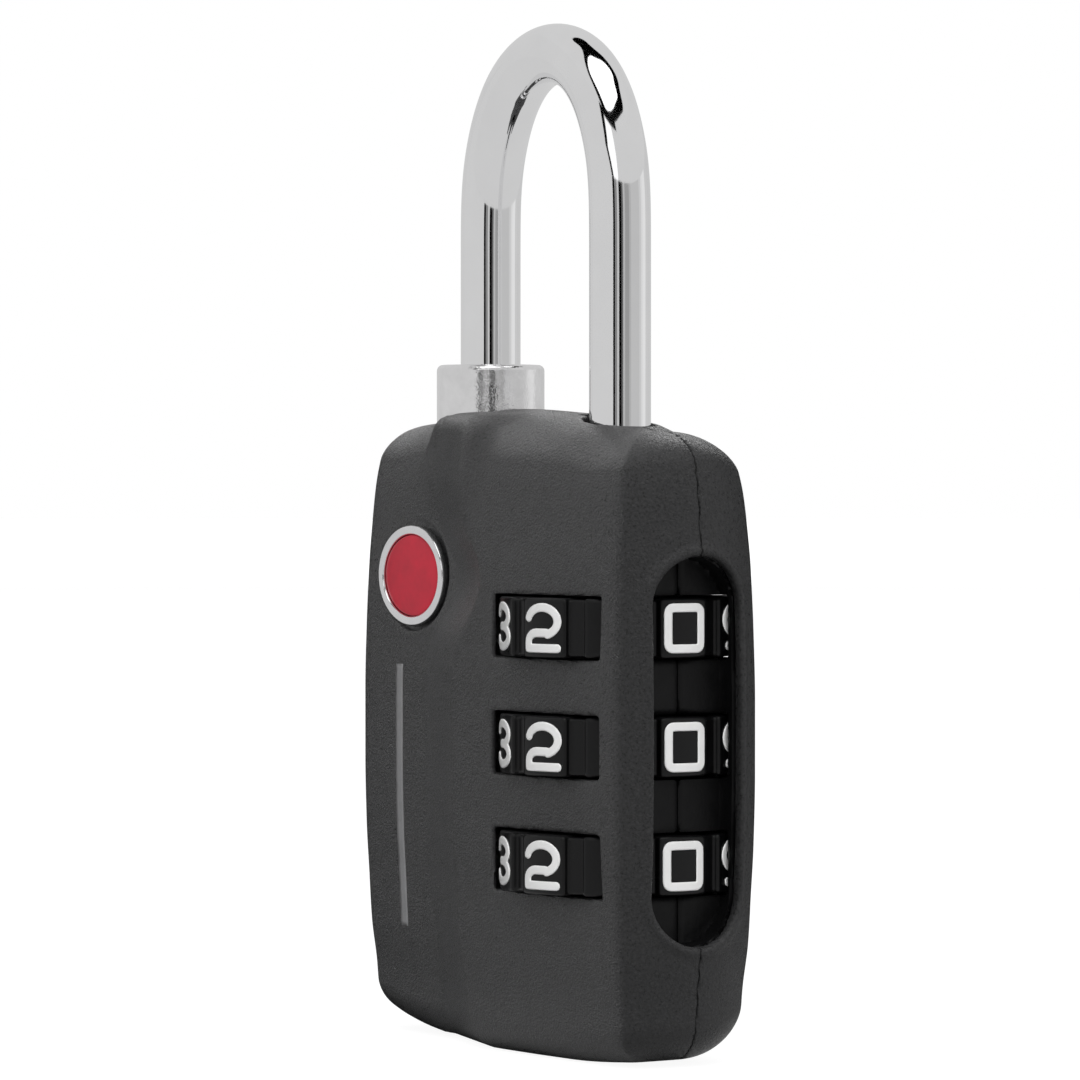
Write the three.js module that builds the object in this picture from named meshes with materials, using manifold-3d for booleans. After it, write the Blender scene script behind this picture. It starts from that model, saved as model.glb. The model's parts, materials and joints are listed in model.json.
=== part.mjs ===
// Three-dial travel padlock with a key cylinder.
// Millimetres, +Z up, front face towards -Y, dial side towards +X.
// Every length below is measured from the dial axis (x = 0, y = 0) and from a plane
// 0.2 mm above the underside of the case (z = 0). The whole padlock is then moved by
// DIAL_X and FOOT_Z so that the origin is the middle of its footprint.
import * as THREE from "three";
import { mergeVertices } from "three/addons/utils/BufferGeometryUtils.js";
import Module from "manifold-3d";

const wasm = await Module();
wasm.setup();

// ---- driving dimensions ----------------------------------------------------
const DIAL_X = 7.335;            // dial axis in the row frame
const FOOT_Z = 0.2;              // measuring plane above the underside
const KEY_X = -13.6;             // short leg and key cylinder axis

// shackle
const BAR_R = 1.75;              // round bar
const ARCH_Z = 48.45;            // where the bow starts
const ARCH_RISE = 8.4;           // centre line rise of the bow
const LEG_END_Z = 5.5;           // bottom of the long leg
const TOE_END_Z = 32.9;          // bottom of the short leg
const LIFT = 6.6;                // travel of the shackle, one dial pitch

// case
const CASE_H = 36.6;
const EDGE_R = 2.1;              // rounding of the top and bottom edges
const SEAM = 0.15;               // half of the gap between the two shells

// dials
const DIAL_Z = [24.2, 17.6, 11.0];
const DIAL_R = 6.78;
const DIAL_H = 3.3;
const DIAL_GROOVE = 0.42;        // depth of the grooves between the pads
const PAD_HALF = 13.5;           // degrees
const POCKET_R = 7.08;
const POCKET_H = 3.6;
const WINDOW_H = 3.5;
const WINDOW_X = [-4.4, 5.26];
const SLOT_Z = [6.55, 28.2];     // finger slot in the narrow side
const SLOT_HALF = 2.9;
const SLOT_FLOOR = 5.85, SLOT_WALL = 7.3;   // floor of the slot, and how far its black wall stands out

// sleeves
const SLEEVE_H = 6.2;
const SLEEVE_WEB = 2.8;          // height of the gated web
const SLEEVE_TIP = 3.6, SLEEVE_ROOT = 3.1;
const SPLINE_GAP = 0.2;
const FREE_R = 2.75;             // room for the lugs to turn
const LUG_R = 2.5, LUG_W = 1.2, LUG_H = 1.5;
const NOTCH_X = 3.05, NOTCH_HALF = 0.85;   // notch beside the long leg, lets the lugs in
const GATE_W = 1.8;
const SLEEVE_BORE = 3.9;         // bore of the core round the sleeves

// core
const CORE_R = 5.6, CORE_FLAT = 4.4;
const CORE_Z = [2.0, 33.9];
const BLOCK_X = [-20.4, -3.0], BLOCK_HALF = 3.35, BLOCK_TOP = 33.9;
const FIT = 0.25;                // core to shell

// key side
const COLLAR_R = 3.15, COLLAR_TOP = 39.1, COLLAR_STEM = 2.75, COLLAR_BORE = 2.0;
const HOUSING_R = 2.75, HOUSING_BORE = 2.3, PLUG_R = 2.1;
const KEY_BORE = 3.0;            // bore of the core round the key side
const PLUG_TURN = 90;            // degrees
const BOLT_TRAVEL = 1.6;
const BOLT_Z = [27.45, 28.45];
const CAM_E = BOLT_TRAVEL / Math.SQRT2;   // offset of the cam pin
const PIN_R = 0.5;

// ---- helpers ---------------------------------------------------------------
const RAD = Math.PI / 180;

function solid(geometry) {
  let g = geometry.clone();
  g.deleteAttribute("normal");
  g.deleteAttribute("uv");
  g = mergeVertices(g, 1e-4);
  const pos = g.attributes.position;
  const vertProperties = new Float32Array(pos.array);
  const src = g.index.array;
  const tri = [];
  for (let i = 0; i < src.length; i += 3) {
    const [a, b, c] = [src[i], src[i + 1], src[i + 2]];
    if (a !== b && b !== c && c !== a) tri.push(a, b, c);
  }
  let vol = 0;
  for (let i = 0; i < tri.length; i += 3) {
    const p = (k) => [pos.getX(tri[i + k]), pos.getY(tri[i + k]), pos.getZ(tri[i + k])];
    const [a, b, c] = [p(0), p(1), p(2)];
    vol += a[0] * (b[1] * c[2] - b[2] * c[1]) - a[1] * (b[0] * c[2] - b[2] * c[0]) + a[2] * (b[0] * c[1] - b[1] * c[0]);
  }
  if (vol < 0) for (let i = 0; i < tri.length; i += 3) [tri[i + 1], tri[i + 2]] = [tri[i + 2], tri[i + 1]];
  return new wasm.Manifold(new wasm.Mesh({ numProp: 3, vertProperties, triVerts: new Uint32Array(tri) }));
}

function geometryOf(m) {
  const mesh = m.getMesh();
  const g = new THREE.BufferGeometry();
  const n = mesh.numProp;
  const out = new Float32Array((mesh.vertProperties.length / n) * 3);
  for (let i = 0; i < out.length / 3; i++) for (let k = 0; k < 3; k++) out[i * 3 + k] = mesh.vertProperties[i * n + k];
  g.setAttribute("position", new THREE.BufferAttribute(out, 3));
  g.setIndex(new THREE.BufferAttribute(new Uint32Array(mesh.triVerts), 1));
  g.computeVertexNormals();
  return g;
}

// upright round bar or disc; half-step phase puts a flat facet on +X
function disc(r, z0, z1, x = 0, y = 0, seg = 24, rTop = r) {
  const g = new THREE.CylinderGeometry(rTop, r, z1 - z0, seg);
  g.rotateX(Math.PI / 2);
  g.translate(x, y, (z0 + z1) / 2);
  return solid(g);
}
function block(x0, x1, y0, y1, z0, z1) {
  const g = new THREE.BoxGeometry(x1 - x0, y1 - y0, z1 - z0);
  g.translate((x0 + x1) / 2, (y0 + y1) / 2, (z0 + z1) / 2);
  return solid(g);
}
// bar along Y
function crossBar(r, y0, y1, x, z, seg = 12) {
  const g = new THREE.CylinderGeometry(r, r, y1 - y0, seg);
  g.translate(x, (y0 + y1) / 2, z);
  return solid(g);
}
function prism(points, z0, z1, holes = []) {
  const shape = new THREE.Shape(points.map(([x, y]) => new THREE.Vector2(x, y)));
  for (const h of holes) shape.holes.push(new THREE.Path(h.map(([x, y]) => new THREE.Vector2(x, y))));
  const g = new THREE.ExtrudeGeometry(shape, { depth: z1 - z0, bevelEnabled: false, steps: 1 });
  g.translate(0, 0, z0);
  return g;
}
// a path whose stations are given, so that straight runs cost one step
class StationPath extends THREE.Curve {
  constructor(points, tangents) { super(); this.points = points; this.tangents = tangents; }
  pick(list, u) {
    const t = u * (list.length - 1), i = Math.min(Math.floor(t), list.length - 2);
    return list[i].clone().lerp(list[i + 1], t - i);
  }
  getPoint(u) { return this.pick(this.points, u); }
  getPointAt(u) { return this.pick(this.points, u); }
  getTangent(u) { return this.pick(this.tangents, u).normalize(); }
  getTangentAt(u) { return this.getTangent(u); }
}
function roundSection(r, sides) {
  const s = [];
  for (let i = 0; i < sides; i++) s.push(new THREE.Vector2(r * Math.cos((i + 0.5) * 2 * Math.PI / sides), r * Math.sin((i + 0.5) * 2 * Math.PI / sides)));
  return new THREE.Shape(s);
}
function sweep(points, tangents, r, sides) {
  return new THREE.ExtrudeGeometry(roundSection(r, sides), { steps: points.length - 1, extrudePath: new StationPath(points, tangents), bevelEnabled: false });
}
function coil(x, y, z0, z1, meanR, wireR, turns, perTurn, sides) {
  const n = Math.round(turns * perTurn), pts = [], tan = [];
  const h = (z1 - z0 - 2 * wireR);
  for (let i = 0; i <= n; i++) {
    const a = (i / perTurn) * 2 * Math.PI;
    pts.push(new THREE.Vector3(x + meanR * Math.cos(a), y + meanR * Math.sin(a), z0 + wireR + h * i / n));
    tan.push(new THREE.Vector3(-meanR * Math.sin(a), meanR * Math.cos(a), h / (2 * Math.PI * turns)).normalize());
  }
  return sweep(pts, tan, wireR, sides);
}
function table(list, z) {
  if (z <= list[0][0]) return list[0][1];
  for (let i = 1; i < list.length; i++) if (z <= list[i][0]) {
    const [z0, a] = list[i - 1], [z1, b] = list[i];
    return a + (b - a) * (z - z0) / (z1 - z0);
  }
  return list[list.length - 1][1];
}

const group = new THREE.Group();
const padlock = new THREE.Group();
padlock.position.set(DIAL_X, 0, FOOT_Z);
group.add(padlock);
function piece(name, shape, color, roughness, metalness) {
  const geometry = shape instanceof THREE.BufferGeometry ? shape : geometryOf(shape);
  const mesh = new THREE.Mesh(geometry, new THREE.MeshStandardMaterial({ color, roughness, metalness }));
  mesh.name = name;
  padlock.add(mesh);
}

// ---- case outline, seen from above, half of it (y >= 0), right to left ------
const HALF = [];
const arc = (cx, cy, r, a0, a1, n) => { for (let i = 0; i <= n; i++) { const a = (a0 + (a1 - a0) * i / n) * RAD; HALF.push([cx + r * Math.cos(a), cy + r * Math.sin(a)]); } };
const END_X = 8.4, FAR_X = -23.07;            // right and left end of the outline
arc(0.8, 0, 7.6, 0, 33.4, 5);                 // round narrow side, then a soft crease to the front face
HALF.push([6.3, 4.80], [2.4, 5.37], [-1.4, 5.70], [-5.0, 5.86], [-8.2, 5.90], [-9.2, 5.72], [-13.1, 4.54], [-14.1, 4.33], [-17.5, 4.27]);
arc(-20.37, 1.46, 2.6, 95, 172, 6);           // left corner
HALF.push([FAR_X, 0]);

// how far the ends draw in at each height, the half thickness there, and how the top
// and the underside rise and fall along the length
const BAR = [[0, 0.86], [3, 0.70], [6, 0.39], [9, 0.24], [12, 0.08], [16, 0], [20, 0], [24, 0.09], [27, 0.22], [30, 0.41], [33, 0.67], [36.6, 1.34]];
const YS = [[0, 0.93], [3, 0.955], [8, 0.985], [16, 1], [25, 0.995], [31, 0.97], [34, 0.95], [36.6, 0.93]];
const TOP = [[-22, 35.64], [-19, 35.72], [-15, 36.3], [-10, 36.5], [-5, 36.28], [0, 35.9], [4, 35.15], [8, 35.1]];
const BOT = [[-22, 1.31], [-19, 0.52], [-16, 0.02], [-13, -0.34], [-8, -0.34], [0, -0.34], [5, 0.05], [8, 0.55]];
const MID_X = -6;

function caseOuter() {
  const pts = [...HALF];
  for (let i = HALF.length - 2; i > 0; i--) pts.push([HALF[i][0], -HALF[i][1]]);
  const shape = new THREE.Shape(pts.map(([x, y]) => new THREE.Vector2(x, y)));
  const g = new THREE.ExtrudeGeometry(shape, { depth: CASE_H - 2 * EDGE_R, steps: 9, bevelEnabled: true, bevelThickness: EDGE_R, bevelSize: EDGE_R, bevelOffset: -EDGE_R, bevelSegments: 4 });
  g.translate(0, 0, EDGE_R);
  const p = g.attributes.position;
  for (let i = 0; i < p.count; i++) {
    let x = p.getX(i), y = p.getY(i), z = p.getZ(i);
    // barrel shape: the ends and faces draw in towards the top and the bottom
    const draw = table(BAR, z), end = x > MID_X ? END_X : FAR_X;
    x = MID_X + (x - MID_X) * (1 - draw / Math.abs(end - MID_X));
    y *= table(YS, z);
    // the top falls away to both sides, and the underside rises a little at both ends
    if (z > 28) z = 28 + (z - 28) * (table(TOP, x) - 28) / (CASE_H - 28);
    if (z < 8) z = 8 - (8 - z) * (8 - table(BOT, x)) / 8;
    p.setXYZ(i, x, y, z);
  }
  // the underside is cut flat, which is the face the lock stands on
  return solid(g).intersect(block(-30, 20, -12, 12, -FOOT_Z, 70));
}

// ---- core and its cavities --------------------------------------------------
function coreBody(grow) {
  const top = CORE_Z[1] + grow, bottom = CORE_Z[0] - grow;
  // round part round the dials, bevelled at the top to follow the shell
  const round = disc(CORE_R + grow, bottom, 32.2, 0, 0, 36).add(disc(CORE_R + grow, 32.2, top, 0, 0, 36, CORE_R + grow - 0.85))
    .intersect(block(-9, 9, -CORE_FLAT - grow, CORE_FLAT + grow, bottom - 1, top + 1));
  const b = BLOCK_HALF + grow, x0 = BLOCK_X[0] - grow, c = 1.2;
  const plan = [[BLOCK_X[1], -b], [BLOCK_X[1], b], [x0 + c, b], [x0 + 0.45 * c, b - 0.3 * c], [x0, b - c], [x0, -b + c], [x0 + 0.45 * c, -b + 0.3 * c], [x0 + c, -b]];
  // flat pad that is the floor of the finger slot
  const pad = block(0, SLOT_FLOOR + grow, -3.1 - grow, 3.1 + grow, 6.4 - grow, 29.1 + grow);
  return round.add(solid(prism(plan, bottom, BLOCK_TOP + grow))).add(pad);
}
// long round-ended outline of the finger slot, widened by grow, from x0 to x1
function slotPrism(grow, x0, x1) {
  const s = SLOT_HALF + grow, plan = [];          // plan is (y, z), length along x
  for (let i = 0; i <= 10; i++) { const a = Math.PI * i / 10; plan.push([s * Math.cos(a), SLOT_Z[1] - SLOT_HALF + s * Math.sin(a)]); }
  for (let i = 0; i <= 10; i++) { const a = Math.PI + Math.PI * i / 10; plan.push([s * Math.cos(a), SLOT_Z[0] + SLOT_HALF + s * Math.sin(a)]); }
  const g = prism(plan, x0, x1);
  const p = g.attributes.position;
  for (let i = 0; i < p.count; i++) p.setXYZ(i, p.getZ(i), p.getX(i), p.getY(i));
  return solid(g);
}
const RIVETS = [[-8.95, 31.3], [-8.95, 5.0], [-17.9, 31.0], [-17.9, 5.0]];
// the core also lines the wall of the finger slot
let core = coreBody(0).add(slotPrism(0.3, 5.0, SLOT_WALL - 0.15).subtract(slotPrism(-0.02, 4.0, 9)));
for (const z of DIAL_Z) core = core.subtract(disc(POCKET_R, z - POCKET_H / 2, z + POCKET_H / 2, 0, 0, 40));
core = core.subtract(disc(SLEEVE_BORE, 1, 33.2, 0, 0, 32));
core = core.subtract(disc(2.05, 33, 36, 0, 0, 24)).subtract(block(-NOTCH_X, 0, -NOTCH_HALF, NOTCH_HALF, 33, 36));
core = core.subtract(disc(KEY_BORE, 1, 35, KEY_X, 0, 24));
core = core.subtract(block(-17.9, -1.5, -1.75, 1.75, BOLT_Z[0] - 0.3, BOLT_Z[1] + 0.3));      // bolt channel
core = core.subtract(block(-8.1, -6.2, 1.1, 3.1, 7.4, 27.9));                                 // leaf spring pocket
for (const [x, z] of RIVETS) {
  core = core.subtract(crossBar(1.1, -4, 4, x, z));
  core = core.subtract(crossBar(1.5, BLOCK_HALF - 0.8, 4, x, z)).subtract(crossBar(1.5, -4, -BLOCK_HALF + 0.8, x, z));
}
const FRONT = block(-30, 20, -12, -SEAM, -5, 70), REAR = block(-30, 20, SEAM, 12, -5, 70);
piece("core_front", core.intersect(FRONT), 0x161618, 0.5, 0.1);
piece("core_rear", core.intersect(REAR), 0x161618, 0.5, 0.1);

// ---- shells -----------------------------------------------------------------
let shell = caseOuter().subtract(coreBody(FIT));
for (const z of DIAL_Z) {
  shell = shell.subtract(disc(POCKET_R, z - POCKET_H / 2, z + POCKET_H / 2, 0, 0, 40));
  shell = shell.subtract(block(WINDOW_X[0], WINDOW_X[1], -9, -2.5, z - WINDOW_H / 2, z + WINDOW_H / 2));
  shell = shell.subtract(block(WINDOW_X[0], WINDOW_X[1], 2.5, 9, z - WINDOW_H / 2, z + WINDOW_H / 2));
}
shell = shell.subtract(slotPrism(0, 4.6, 10)).subtract(slotPrism(0.55, 4.6, SLOT_WALL + 0.12));
shell = shell.subtract(disc(2.1, 33, 40, 0, 0, 24)).subtract(block(-NOTCH_X, 0, -NOTCH_HALF, NOTCH_HALF, 33, 40));   // long leg and its lugs
shell = shell.subtract(disc(COLLAR_R + 0.2, 33, 40, KEY_X, 0, 28));     // collar
shell = shell.subtract(disc(PLUG_R + 0.3, -1, 3, KEY_X, 0, 24));        // key hole
// recess for the badge on the front face of the key side
const BADGE = { x: -15.5, z: 26.8, a: 3.5, b: 2.9 };
function oval(a, b, n = 28) { const s = []; for (let i = 0; i < n; i++) { const t = (i + 0.5) * 2 * Math.PI / n; s.push([a * Math.cos(t), b * Math.sin(t)]); } return s; }
function badgeSlab(a, b, y0, y1, hole) {          // y0 < y1, extruded along y
  const g = prism(oval(a, b), 0, y1 - y0, hole ? [oval(hole[0], hole[1])] : []);
  const p = g.attributes.position;
  for (let i = 0; i < p.count; i++) p.setXYZ(i, p.getX(i) + BADGE.x, y0 + p.getZ(i), p.getY(i) + BADGE.z);
  return solid(g);
}
shell = shell.subtract(badgeSlab(BADGE.a + 0.3, BADGE.b + 0.3, -6, -3.95));
piece("front_shell", shell.intersect(FRONT), 0x47484a, 0.75, 0.0);
piece("rear_shell", shell.intersect(REAR), 0x47484a, 0.75, 0.0);

piece("badge_bezel", badgeSlab(BADGE.a, BADGE.b, -4.4, -3.7 - 0.2, [BADGE.a - 0.5, BADGE.b - 0.5]).intersect(block(-25, 0, -4.4, -3.96, 0, 40)), 0xc8cacc, 0.25, 1.0);
piece("badge_inlay", badgeSlab(BADGE.a - 0.7, BADGE.b - 0.7, -4.3, -3.96), 0xb5202c, 0.3, 0.0);

// ---- shackle ----------------------------------------------------------------
{
  const pts = [new THREE.Vector3(0, 0, LEG_END_Z)], tan = [new THREE.Vector3(0, 0, 1)];
  const n = 16, a = -KEY_X / 2, cx = KEY_X / 2;
  for (let i = 0; i <= n; i++) {
    const t = Math.PI * i / n;
    pts.push(new THREE.Vector3(cx + a * Math.cos(t), 0, ARCH_Z + ARCH_RISE * Math.sin(t)));
    tan.push(new THREE.Vector3(-a * Math.sin(t), 0, ARCH_RISE * Math.cos(t)).normalize());
  }
  pts.push(new THREE.Vector3(KEY_X, 0, TOE_END_Z)); tan.push(new THREE.Vector3(0, 0, -1));
  let s = solid(sweep(pts, tan, BAR_R, 20));
  for (let k = 0; k < 3; k++) {                     // lugs on the key side of the long leg
    const top = DIAL_Z[k] - 6.6 + 3.0;
    s = s.add(block(-LUG_R, -0.9, -LUG_W / 2, LUG_W / 2, top - LUG_H, top));
  }
  s = s.subtract(disc(1.05, LEG_END_Z - 1, 14.2, 0, 0, 14));   // blind bore for the spring
  piece("shackle", s, 0xe4e6e8, 0.08, 1.0);
}

// ---- dials and sleeves --------------------------------------------------------
function padOutline() {
  const s = [];
  for (let d = 0; d < 10; d++) {
    const c = d * 36;
    for (const a of [-PAD_HALF, -PAD_HALF / 3, PAD_HALF / 3, PAD_HALF]) s.push([DIAL_R * Math.cos((c + a) * RAD), DIAL_R * Math.sin((c + a) * RAD)]);
    for (const a of [PAD_HALF + 1.2, 36 - PAD_HALF - 1.2]) s.push([(DIAL_R - DIAL_GROOVE) * Math.cos((c + a) * RAD), (DIAL_R - DIAL_GROOVE) * Math.sin((c + a) * RAD)]);
  }
  return s;
}
function splines(tip, root) {
  const s = [];
  for (let d = 0; d < 10; d++) for (const [a, r] of [[-9.5, root], [-5.5, tip], [5.5, tip], [9.5, root]]) s.push([r * Math.cos((d * 36 + a) * RAD), r * Math.sin((d * 36 + a) * RAD)]);
  return s;
}
DIAL_Z.forEach((z, i) => {
  piece(`dial_${i + 1}`, prism(padOutline(), z - DIAL_H / 2, z + DIAL_H / 2, [splines(SLEEVE_TIP + SPLINE_GAP, SLEEVE_ROOT + SPLINE_GAP)]), 0x121214, 0.35, 0.0);
  const z0 = z - SLEEVE_H / 2, z1 = z + SLEEVE_H / 2;
  let s = solid(prism(splines(SLEEVE_TIP, SLEEVE_ROOT), z0, z1));
  s = s.subtract(disc(BAR_R + 0.2, z0 - 1, z1 + 1, 0, 0, 20));
  s = s.subtract(disc(FREE_R, z0 + SLEEVE_WEB, z1 + 1, 0, 0, 20));
  s = s.subtract(block(-FREE_R, -1, -GATE_W / 2, GATE_W / 2, z0 - 1, z1 + 1));      // gate
  piece(`sleeve_${i + 1}`, s, 0xb89a4e, 0.4, 0.9);
});

// ---- springs and cap below the long leg ---------------------------------------
piece("spring_cap", disc(3.6, 2.0, 2.8, 0, 0, 24), 0x8c8e90, 0.45, 0.9);
piece("shackle_spring", coil(0, 0, 3.1, 13.9, 0.62, 0.16, 9, 8, 5), 0xb9bcc0, 0.35, 1.0);
piece("sleeve_spring", coil(0, 0, 3.1, 7.6, 3.2, 0.2, 3.5, 14, 5), 0xb9bcc0, 0.35, 1.0);

// ---- dial detent leaf spring ---------------------------------------------------
{
  let s = block(-7.8, -7.5, 1.4, 2.8, 7.8, 27.5);
  for (const z of DIAL_Z) {
    const plan = [[-7.6, 1.6], [-6.66, 2.0], [-6.66, 2.35], [-7.6, 2.6]];
    s = s.add(solid(prism(plan, z - 0.9, z + 0.9)));
  }
  piece("dial_detent_spring", s, 0xa9acb0, 0.4, 1.0);
}

// ---- key side -------------------------------------------------------------------
piece("toe_collar", disc(COLLAR_STEM, 30.2, 35.4, KEY_X, 0, 28)
  .add(disc(COLLAR_R, 34.4, COLLAR_TOP - 0.45, KEY_X, 0, 28))
  .add(disc(COLLAR_R, COLLAR_TOP - 0.45, COLLAR_TOP, KEY_X, 0, 28, COLLAR_R - 0.35))
  .subtract(disc(COLLAR_BORE, 30.9, 41, KEY_X, 0, 24)), 0xe4e6e8, 0.1, 1.0);

piece("cylinder_housing", disc(HOUSING_R, 2.1, 22.6, KEY_X, 0, 24).subtract(disc(HOUSING_BORE, 1, 24, KEY_X, 0, 24)), 0xb08d45, 0.4, 0.9);

const WAFER_Z = [5.2, 8.4, 11.6, 14.8];
{
  let s = disc(PLUG_R, 0.35, 22.5, KEY_X, 0, 24).add(disc(0.9, 22, 25.2, KEY_X, 0, 12));
  s = s.subtract(block(KEY_X - 0.45, KEY_X + 0.45, -1.55, 1.55, -1, 17.5));                 // keyway
  for (const z of WAFER_Z) s = s.subtract(block(KEY_X - 1.15, KEY_X + 1.15, -3, 3, z - 0.4, z + 0.4));
  piece("key_plug", s, 0xc6a558, 0.35, 0.9);
  WAFER_Z.forEach((z, i) => {
    const w = block(KEY_X - 0.95, KEY_X + 0.95, -1.35, 1.35, z - 0.22, z + 0.22)
      .subtract(block(KEY_X - 0.42, KEY_X + 0.42, -0.75 + 0.1 * (i % 3), 0.55 + 0.1 * (i % 3), z - 1, z + 1));
    piece(`wafer_${i + 1}`, w, 0xd2b469, 0.4, 0.9);
  });
  // open ring on the stem of the plug
  piece("plug_clip", disc(2.6, 22.85, 23.2, KEY_X, 0, 20).subtract(disc(1.15, 22, 24, KEY_X, 0, 12)).subtract(block(KEY_X - 0.7, KEY_X + 0.7, -4, 0, 22, 24)), 0x9da0a4, 0.4, 1.0);
  const pin = CAM_E * Math.SQRT1_2;
  piece("plug_cam", disc(1.9, 23.5, 26.9, KEY_X, 0, 20).subtract(disc(1.15, 23, 25.5, KEY_X, 0, 12)).add(disc(PIN_R, 26.5, 28.7, KEY_X + pin, pin, 12)), 0x8f9296, 0.4, 0.9);
  // flat bolt: nose over the sleeves, cross slot for the cam pin
  let b = block(KEY_X - 2.2, -2.1, -1.45, 1.45, BOLT_Z[0], BOLT_Z[1]);
  b = b.subtract(block(KEY_X + pin - PIN_R - 0.2, KEY_X + pin + PIN_R + 0.2, -0.05, 4, 26, 30));
  piece("release_bolt", b, 0xa3a6aa, 0.4, 0.9);
}

// ---- rivets joining the core halves ----------------------------------------------
RIVETS.forEach(([x, z], i) => {
  const h = BLOCK_HALF - 0.05;
  piece(`body_rivet_${i + 1}`, crossBar(0.8, -h + 0.2, h - 0.2, x, z)
    .add(crossBar(1.2, h - 0.45, h, x, z)).add(crossBar(1.2, -h, -h + 0.45, x, z)), 0xa3a6aa, 0.45, 0.9);
});

export default group;
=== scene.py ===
import bpy
import json
import math
import numpy as np
from mathutils import Matrix, Vector

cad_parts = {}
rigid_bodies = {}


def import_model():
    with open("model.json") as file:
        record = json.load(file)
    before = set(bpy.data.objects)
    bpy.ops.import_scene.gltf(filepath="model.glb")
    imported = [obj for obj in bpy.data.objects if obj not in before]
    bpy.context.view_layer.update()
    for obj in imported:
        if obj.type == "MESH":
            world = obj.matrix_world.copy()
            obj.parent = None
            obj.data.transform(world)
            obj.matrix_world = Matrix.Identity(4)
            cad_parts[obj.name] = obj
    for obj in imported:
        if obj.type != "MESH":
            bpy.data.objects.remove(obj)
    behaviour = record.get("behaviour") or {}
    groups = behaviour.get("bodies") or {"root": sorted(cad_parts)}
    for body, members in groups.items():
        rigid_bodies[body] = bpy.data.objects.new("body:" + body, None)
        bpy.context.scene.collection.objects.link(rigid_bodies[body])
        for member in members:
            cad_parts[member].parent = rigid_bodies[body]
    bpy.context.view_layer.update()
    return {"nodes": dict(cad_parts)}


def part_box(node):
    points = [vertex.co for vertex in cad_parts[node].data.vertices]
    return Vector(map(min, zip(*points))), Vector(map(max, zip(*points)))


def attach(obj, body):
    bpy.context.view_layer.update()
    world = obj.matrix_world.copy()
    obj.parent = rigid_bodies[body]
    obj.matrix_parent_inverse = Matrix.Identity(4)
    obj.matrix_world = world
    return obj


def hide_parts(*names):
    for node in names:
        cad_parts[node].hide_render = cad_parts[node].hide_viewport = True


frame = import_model()

# --------------------------------------------------------------------------
# The shapes below are worked out in millimetres from the dial axis (x = 0,
# y = 0) and a plane 0.2 mm above the underside of the case. DX and DZ move
# them to the row frame.
# --------------------------------------------------------------------------
_lo, _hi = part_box("dial_1")
DX = (_lo[0] + _hi[0]) * 500.0
DZ = (_lo[2] + _hi[2]) * 500.0 - 24.2             # the underside sits 0.2 mm below the measuring plane
KEY_X = -13.6
DIAL_Z = (24.2, 17.6, 11.0)
SLOT_Z, SLOT_HALF = (6.55, 28.2), 2.9
RAD = math.pi / 180.0


def to_row(p):
    q = np.array(p, dtype=float)
    q[:, 0] += DX
    q[:, 2] += DZ
    return q * 0.001


# --------------------------------------------------------------------------
# smooth tables (monotone-ish cubic through the given stations)
# --------------------------------------------------------------------------
class Table:
    def __init__(self, pairs):
        a = np.array(pairs, dtype=float)
        self.x, self.y = a[:, 0], a[:, 1]
        d = np.diff(self.y) / np.diff(self.x)
        m = np.zeros(len(self.x))
        m[0], m[-1] = d[0], d[-1]
        for i in range(1, len(m) - 1):
            if d[i - 1] * d[i] > 0:
                w1 = 2 * (self.x[i + 1] - self.x[i]) + (self.x[i] - self.x[i - 1])
                w2 = (self.x[i + 1] - self.x[i]) + 2 * (self.x[i] - self.x[i - 1])
                m[i] = (w1 + w2) / (w1 / d[i - 1] + w2 / d[i])
        self.m = m

    def __call__(self, v):
        x, y, m = self.x, self.y, self.m
        v = np.clip(v, x[0], x[-1])
        i = np.clip(np.searchsorted(x, v) - 1, 0, len(x) - 2)
        h = x[i + 1] - x[i]
        t = (v - x[i]) / h
        t2, t3 = t * t, t * t * t
        return ((2 * t3 - 3 * t2 + 1) * y[i] + (t3 - 2 * t2 + t) * h * m[i]
                + (-2 * t3 + 3 * t2) * y[i + 1] + (t3 - t2) * h * m[i + 1])


# profile of the case: how far the outline is drawn in at each height, and how
# the top and the underside rise and fall along the length
BAR = Table([[0, .86], [3, .70], [6, .39], [9, .24], [12, .08], [16, 0], [20, 0], [24, .09], [27, .22], [30, .41], [33, .67], [36.6, 1.34]])
TOP = Table([[-22, 35.64], [-19, 35.72], [-15, 36.3], [-10, 36.5], [-5, 36.28], [0, 35.9], [4, 35.15], [8, 35.1]])
BOT = Table([[-22, 1.31], [-19, .52], [-16, .04], [-13, -.2], [-8, -.2], [0, -.2], [5, .05], [8, .55]])
CASE_H = 36.6
TOP_A, TOP_B, BOT_A, BOT_B = 2.73, 2.13, 1.74, 2.0


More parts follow.
